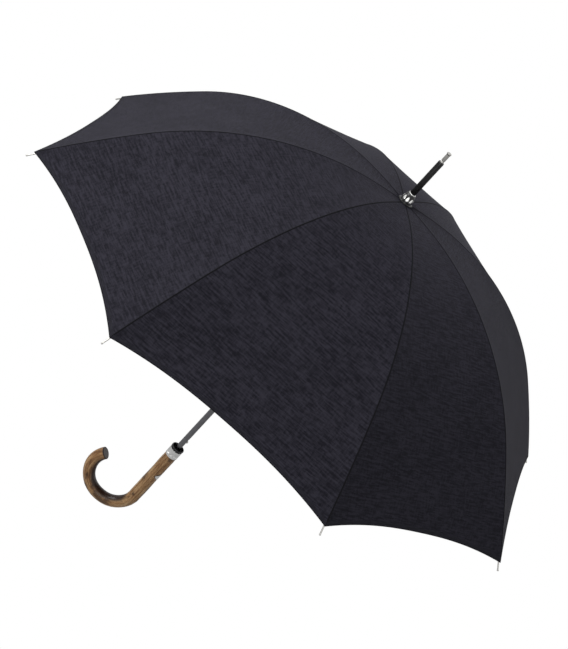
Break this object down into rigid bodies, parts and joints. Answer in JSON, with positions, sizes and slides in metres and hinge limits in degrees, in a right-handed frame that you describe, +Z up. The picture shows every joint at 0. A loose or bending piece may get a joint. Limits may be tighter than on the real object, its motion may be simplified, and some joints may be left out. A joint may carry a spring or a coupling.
{
  "type": "stick umbrella",
  "caption": "Open stick umbrella with a ribbed cloth canopy, push-button opening, steel shaft and a wooden crook handle.",
  "frame": {"origin": "on the shaft's axis at the middle of the straight grip, where a hand holds it", "axes": "+Z up the shaft to the ferrule; the crook bends towards -X; the push button faces +X"},
  "size_m": [0.9818, 0.9818, 0.9181],
  "materials": {
    "cloth": "fine black twill with a soft sheen",
    "rib_steel": "black lacquered steel",
    "stretcher_steel": "black lacquered steel",
    "shaft_steel": "dark gloss lacquer on steel",
    "bright_metal": "polished plating",
    "tip_metal": "satin nickel",
    "wood": "varnished brown wood",
    "black_plastic": "moulded black",
    "ferrule_black": "black lacquer",
    "spring_steel": "spring wire",
    "strap": "black woven band"
  },
  "bodies": {
    "stick": {"shaft_tube": "shaft_steel", "handle_crook": "wood", "collar_band": "bright_metal", "tip_cup": "black_plastic", "notch": "black_plastic", "notch_wire": "spring_steel", "canopy_cap": "bright_metal", "cap_washer": "black_plastic", "ferrule_tube": "ferrule_black", "ferrule_spike": "tip_metal", "top_stop": "spring_steel", "opening_spring": "spring_steel", "spring_plug": "spring_steel", "button_spring": "spring_steel"},
    "button": {"button": "bright_metal", "latch_bar": "spring_steel"},
    "runner": {"runner": "black_plastic", "runner_wire": "spring_steel", "runner_pin": "spring_steel"},
    "rib_1": {"rib_inner_1": "rib_steel", "canopy_panel_1": "cloth"},
    "rib_end_1": {"rib_outer_1": "rib_steel", "rib_tip_1": "tip_metal"},
    "stretch_1": {"stretcher_1": "stretcher_steel"},
    "rib_2": {"rib_inner_2": "rib_steel", "canopy_panel_2": "cloth"},
    "rib_end_2": {"rib_outer_2": "rib_steel", "rib_tip_2": "tip_metal", "tie_strap": "strap"},
    "stretch_2": {"stretcher_2": "stretcher_steel"},
    "rib_3": {"rib_inner_3": "rib_steel", "canopy_panel_3": "cloth"},
    "rib_end_3": {"rib_outer_3": "rib_steel", "rib_tip_3": "tip_metal"},
    "stretch_3": {"stretcher_3": "stretcher_steel"},
    "rib_4": {"rib_inner_4": "rib_steel", "canopy_panel_4": "cloth"},
    "rib_end_4": {"rib_outer_4": "rib_steel", "rib_tip_4": "tip_metal"},
    "stretch_4": {"stretcher_4": "stretcher_steel"},
    "rib_5": {"rib_inner_5": "rib_steel", "canopy_panel_5": "cloth"},
    "rib_end_5": {"rib_outer_5": "rib_steel", "rib_tip_5": "tip_metal"},
    "stretch_5": {"stretcher_5": "stretcher_steel"},
    "rib_6": {"rib_inner_6": "rib_steel", "canopy_panel_6": "cloth"},
    "rib_end_6": {"rib_outer_6": "rib_steel", "rib_tip_6": "tip_metal"},
    "stretch_6": {"stretcher_6": "stretcher_steel"},
    "rib_7": {"rib_inner_7": "rib_steel", "canopy_panel_7": "cloth"},
    "rib_end_7": {"rib_outer_7": "rib_steel", "rib_tip_7": "tip_metal"},
    "stretch_7": {"stretcher_7": "stretcher_steel"},
    "rib_8": {"rib_inner_8": "rib_steel", "canopy_panel_8": "cloth"},
    "rib_end_8": {"rib_outer_8": "rib_steel", "rib_tip_8": "tip_metal"},
    "stretch_8": {"stretcher_8": "stretcher_steel"}
  },
  "joints": [
    {"name": "button_press", "type": "slide", "parent": "stick", "child": "button", "axis": [-1, 0, 0], "range_m": [0, 0.002], "stiffness_N_per_m": 700, "springref_m": -0.002, "deforming": ["button_spring"]},
    {"name": "canopy_fold", "type": "hinge", "parent": "stick", "child": "rib_1", "pos_m": [0.00878, 0.00364, 0.6885], "axis": [-0.3827, 0.9239, 0], "range_deg": [0, 75.61], "stiffness_Nm_per_rad": 1.5, "springref_deg": -114.59, "deforming": ["canopy_panel_1", "opening_spring"]},
    {"name": "rib_flex_1", "type": "hinge", "parent": "rib_1", "child": "rib_end_1", "pos_m": [0.26082, 0.10803, 0.633], "axis": [-0.3827, 0.9239, 0], "range_deg": [-25.4, 0]},
    {"name": "stretcher_swing_1", "type": "hinge", "parent": "rib_1", "child": "stretch_1", "pos_m": [0.2589, 0.10724, 0.62901], "axis": [-0.3827, 0.9239, 0], "range_deg": [-151.71, 0]},
    {"name": "rib_fold_2", "type": "hinge", "parent": "stick", "child": "rib_2", "pos_m": [0.00364, 0.00878, 0.6885], "axis": [-0.9239, 0.3827, 0], "range_deg": [0, 75.61], "deforming": ["canopy_panel_2"]},
    {"name": "rib_flex_2", "type": "hinge", "parent": "rib_2", "child": "rib_end_2", "pos_m": [0.10803, 0.26082, 0.633], "axis": [-0.9239, 0.3827, 0], "range_deg": [-25.4, 0], "deforming": ["tie_strap"]},
    {"name": "stretcher_swing_2", "type": "hinge", "parent": "rib_2", "child": "stretch_2", "pos_m": [0.10724, 0.2589, 0.62901], "axis": [-0.9239, 0.3827, 0], "range_deg": [-151.71, 0]},
    {"name": "rib_fold_3", "type": "hinge", "parent": "stick", "child": "rib_3", "pos_m": [-0.00364, 0.00878, 0.6885], "axis": [-0.9239, -0.3827, 0], "range_deg": [0, 75.61], "deforming": ["canopy_panel_3"]},
    {"name": "rib_flex_3", "type": "hinge", "parent": "rib_3", "child": "rib_end_3", "pos_m": [-0.10803, 0.26082, 0.633], "axis": [-0.9239, -0.3827, 0], "range_deg": [-25.4, 0]},
    {"name": "stretcher_swing_3", "type": "hinge", "parent": "rib_3", "child": "stretch_3", "pos_m": [-0.10724, 0.2589, 0.62901], "axis": [-0.9239, -0.3827, 0], "range_deg": [-151.71, 0]},
    {"name": "rib_fold_4", "type": "hinge", "parent": "stick", "child": "rib_4", "pos_m": [-0.00878, 0.00364, 0.6885], "axis": [-0.3827, -0.9239, 0], "range_deg": [0, 75.61], "deforming": ["canopy_panel_4"]},
    {"name": "rib_flex_4", "type": "hinge", "parent": "rib_4", "child": "rib_end_4", "pos_m": [-0.26082, 0.10803, 0.633], "axis": [-0.3827, -0.9239, 0], "range_deg": [-25.4, 0]},
    {"name": "stretcher_swing_4", "type": "hinge", "parent": "rib_4", "child": "stretch_4", "pos_m": [-0.2589, 0.10724, 0.62901], "axis": [-0.3827, -0.9239, 0], "range_deg": [-151.71, 0]},
    {"name": "rib_fold_5", "type": "hinge", "parent": "stick", "child": "rib_5", "pos_m": [-0.00878, -0.00364, 0.6885], "axis": [0.3827, -0.9239, 0], "range_deg": [0, 75.61], "deforming": ["canopy_panel_5"]},
    {"name": "rib_flex_5", "type": "hinge", "parent": "rib_5", "child": "rib_end_5", "pos_m": [-0.26082, -0.10803, 0.633], "axis": [0.3827, -0.9239, 0], "range_deg": [-25.4, 0]},
    {"name": "stretcher_swing_5", "type": "hinge", "parent": "rib_5", "child": "stretch_5", "pos_m": [-0.2589, -0.10724, 0.62901], "axis": [0.3827, -0.9239, 0], "range_deg": [-151.71, 0]},
    {"name": "rib_fold_6", "type": "hinge", "parent": "stick", "child": "rib_6", "pos_m": [-0.00364, -0.00878, 0.6885], "axis": [0.9239, -0.3827, 0], "range_deg": [0, 75.61], "deforming": ["canopy_panel_6"]},
    {"name": "rib_flex_6", "type": "hinge", "parent": "rib_6", "child": "rib_end_6", "pos_m": [-0.10803, -0.26082, 0.633], "axis": [0.9239, -0.3827, 0], "range_deg": [-25.4, 0]},
    {"name": "stretcher_swing_6", "type": "hinge", "parent": "rib_6", "child": "stretch_6", "pos_m": [-0.10724, -0.2589, 0.62901], "axis": [0.9239, -0.3827, 0], "range_deg": [-151.71, 0]},
    {"name": "rib_fold_7", "type": "hinge", "parent": "stick", "child": "rib_7", "pos_m": [0.00364, -0.00878, 0.6885], "axis": [0.9239, 0.3827, 0], "range_deg": [0, 75.61], "deforming": ["canopy_panel_7"]},
    {"name": "rib_flex_7", "type": "hinge", "parent": "rib_7", "child": "rib_end_7", "pos_m": [0.10803, -0.26082, 0.633], "axis": [0.9239, 0.3827, 0], "range_deg": [-25.4, 0]},
    {"name": "stretcher_swing_7", "type": "hinge", "parent": "rib_7", "child": "stretch_7", "pos_m": [0.10724, -0.2589, 0.62901], "axis": [0.9239, 0.3827, 0], "range_deg": [-151.71, 0]},
    {"name": "rib_fold_8", "type": "hinge", "parent": "stick", "child": "rib_8", "pos_m": [0.00878, -0.00364, 0.6885], "axis": [0.3827, 0.9239, 0], "range_deg": [0, 75.61], "deforming": ["canopy_panel_8"]},
    {"name": "rib_flex_8", "type": "hinge", "parent": "rib_8", "child": "rib_end_8", "pos_m": [0.26082, -0.10803, 0.633], "axis": [0.3827, 0.9239, 0], "range_deg": [-25.4, 0]},
    {"name": "stretcher_swing_8", "type": "hinge", "parent": "rib_8", "child": "stretch_8", "pos_m": [0.2589, -0.10724, 0.62901], "axis": [0.3827, 0.9239, 0], "range_deg": [-151.71, 0]},
    {"name": "runner_pivot", "type": "hinge", "parent": "stretch_1", "child": "runner", "pos_m": [0.00878, 0.00364, 0.56951], "axis": [-0.3827, 0.9239, 0], "range_deg": [0, 76.11]}
  ],
  "couplings": [
    {"joint": "rib_flex_1", "follows": "canopy_fold", "ratio": -0.32934},
    {"joint": "stretcher_swing_1", "follows": "canopy_fold", "ratio": -2},
    {"joint": "rib_fold_2", "follows": "canopy_fold", "ratio": 1},
    {"joint": "rib_flex_2", "follows": "canopy_fold", "ratio": -0.32934},
    {"joint": "stretcher_swing_2", "follows": "canopy_fold", "ratio": -2},
    {"joint": "rib_fold_3", "follows": "canopy_fold", "ratio": 1},
    {"joint": "rib_flex_3", "follows": "canopy_fold", "ratio": -0.32934},
    {"joint": "stretcher_swing_3", "follows": "canopy_fold", "ratio": -2},
    {"joint": "rib_fold_4", "follows": "canopy_fold", "ratio": 1},
    {"joint": "rib_flex_4", "follows": "canopy_fold", "ratio": -0.32934},
    {"joint": "stretcher_swing_4", "follows": "canopy_fold", "ratio": -2},
    {"joint": "rib_fold_5", "follows": "canopy_fold", "ratio": 1},
    {"joint": "rib_flex_5", "follows": "canopy_fold", "ratio": -0.32934},
    {"joint": "stretcher_swing_5", "follows": "canopy_fold", "ratio": -2},
    {"joint": "rib_fold_6", "follows": "canopy_fold", "ratio": 1},
    {"joint": "rib_flex_6", "follows": "canopy_fold", "ratio": -0.32934},
    {"joint": "stretcher_swing_6", "follows": "canopy_fold", "ratio": -2},
    {"joint": "rib_fold_7", "follows": "canopy_fold", "ratio": 1},
    {"joint": "rib_flex_7", "follows": "canopy_fold", "ratio": -0.32934},
    {"joint": "stretcher_swing_7", "follows": "canopy_fold", "ratio": -2},
    {"joint": "rib_fold_8", "follows": "canopy_fold", "ratio": 1},
    {"joint": "rib_flex_8", "follows": "canopy_fold", "ratio": -0.32934},
    {"joint": "stretcher_swing_8", "follows": "canopy_fold", "ratio": -2},
    {"joint": "runner_pivot", "follows": "canopy_fold", "ratio": 1}
  ]
}
